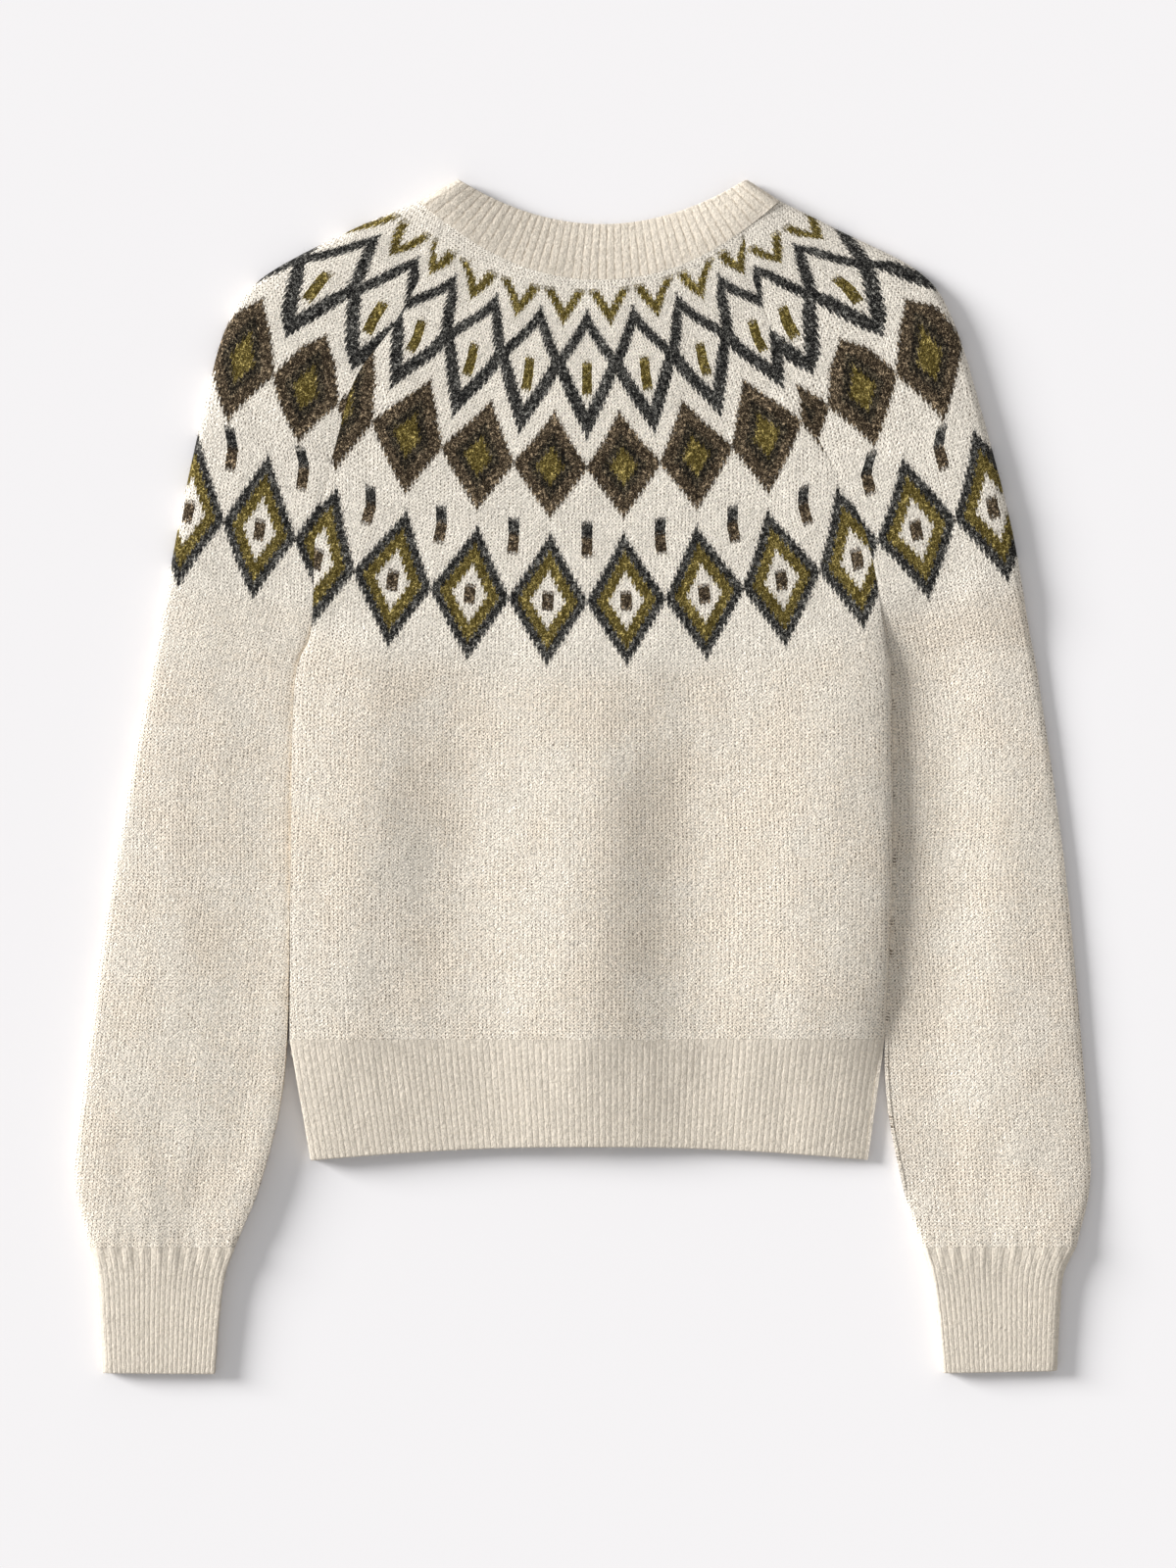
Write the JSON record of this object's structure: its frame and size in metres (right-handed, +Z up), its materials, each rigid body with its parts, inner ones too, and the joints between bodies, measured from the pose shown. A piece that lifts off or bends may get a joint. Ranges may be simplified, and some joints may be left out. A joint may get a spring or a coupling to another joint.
{
  "type": "fair isle cardigan",
  "caption": "Long-sleeved cardigan in brushed knit with a traditional diamond yoke and ribbed neck, hem and cuffs, buttoned and laid flat face down.",
  "frame": {"origin": "middle of the garment's outline on the surface that it lies on, z = 0 at the underside of the fronts", "axes": "+Y from the hem to the neck, +X to the wearer's right, +Z up out of the back of the garment"},
  "size_m": [0.643, 0.7562, 0.0119],
  "materials": {
    "knit": "brushed wool and mohair blend in stocking stitch, heathered oatmeal, with an ivory yoke patterned in charcoal, olive and brown; soft matte halo",
    "rib": "the same brushed yarn in one-by-one rib, heathered oatmeal, matte",
    "button": "dark brown horn look, satin"
  },
  "bodies": {
    "root": {"back": "knit", "front_left": "knit", "front_right": "knit", "sleeve_left": "knit", "sleeve_right": "knit", "hem_rib_back": "rib", "hem_rib_front_left": "rib", "hem_rib_front_right": "rib", "cuff_left": "rib", "cuff_right": "rib", "neckband": "rib", "button_band": "rib", "buttonhole_band": "rib", "button_1": "button", "button_2": "button", "button_3": "button", "button_4": "button", "button_5": "button", "button_6": "button", "button_7": "button"}
  },
  "joints": []
}
